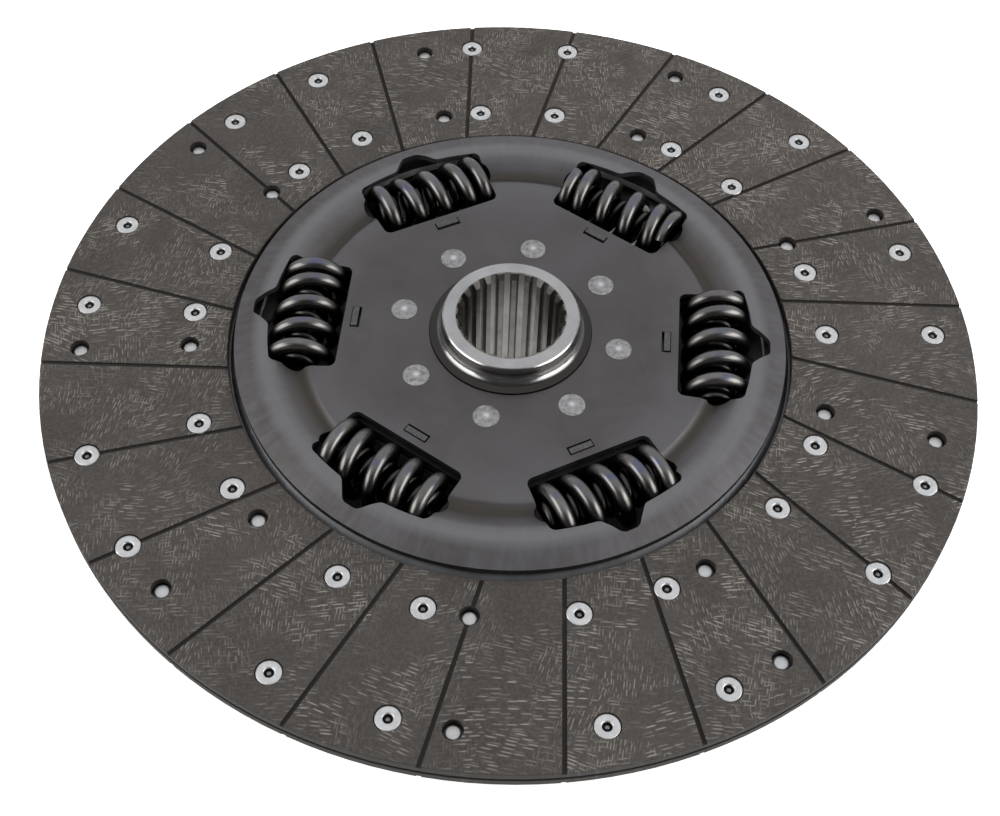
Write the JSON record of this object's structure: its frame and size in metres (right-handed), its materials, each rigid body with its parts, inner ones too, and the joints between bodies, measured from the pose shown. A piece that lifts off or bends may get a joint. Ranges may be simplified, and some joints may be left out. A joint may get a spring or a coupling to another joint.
{
  "type": "clutch disc",
  "caption": "Riveted dry clutch disc with grooved friction facings, a splined hub and a sprung torsion damper behind windowed cover plates.",
  "frame": {"origin": "centre of the hub's rear end face, which faces the gearbox", "axes": "+Z along the shaft axis towards the flywheel side; X and Y lie in the disc, with no special direction"},
  "size_m": [0.43, 0.43, 0.07],
  "materials": {
    "machined_steel": "turned, lightly oiled",
    "rivet_steel": "pressed, dull",
    "phosphated_sheet": "dark phosphate, satin",
    "dark_sheet": "dark phosphate, satin",
    "spring_sheet": "hardened strip, dull",
    "grey_sheet": "stamped, dull",
    "friction_lining": "ground woven lining, matt",
    "friction_washer": "moulded, matt",
    "facing_rivet": "plated, bright",
    "spring_wire": "blackened, oiled"
  },
  "bodies": {
    "hub_side": {"hub": "machined_steel", "hub_rivets": "rivet_steel", "front_cover_plate": "phosphated_sheet", "rear_cover_plate": "phosphated_sheet", "front_friction_washer": "friction_washer", "front_pressure_ring": "grey_sheet", "disc_spring": "spring_sheet", "rear_friction_ring": "friction_washer", "outer_spring_1": "spring_wire", "inner_spring_1": "spring_wire", "outer_spring_2": "spring_wire", "inner_spring_2": "spring_wire", "outer_spring_3": "spring_wire", "inner_spring_3": "spring_wire", "outer_spring_4": "spring_wire", "inner_spring_4": "spring_wire", "outer_spring_5": "spring_wire", "inner_spring_5": "spring_wire", "outer_spring_6": "spring_wire", "inner_spring_6": "spring_wire"},
    "facing_side": {"drive_plate": "dark_sheet", "cushion_disc": "spring_sheet", "cushion_rivets": "rivet_steel", "front_facing": "friction_lining", "rear_facing": "friction_lining", "front_facing_rivets": "facing_rivet", "rear_facing_rivets": "facing_rivet"}
  },
  "joints": [
    {"name": "torsion_damper", "type": "hinge", "parent": "hub_side", "child": "facing_side", "pos_m": [0, 0, 0.051], "axis": [0, 0, 1], "range_deg": [-6, 6], "stiffness_Nm_per_rad": 4000, "deforming": ["outer_spring_1", "inner_spring_1", "outer_spring_2", "inner_spring_2", "outer_spring_3", "inner_spring_3", "outer_spring_4", "inner_spring_4", "outer_spring_5", "inner_spring_5", "outer_spring_6", "inner_spring_6"]}
  ]
}
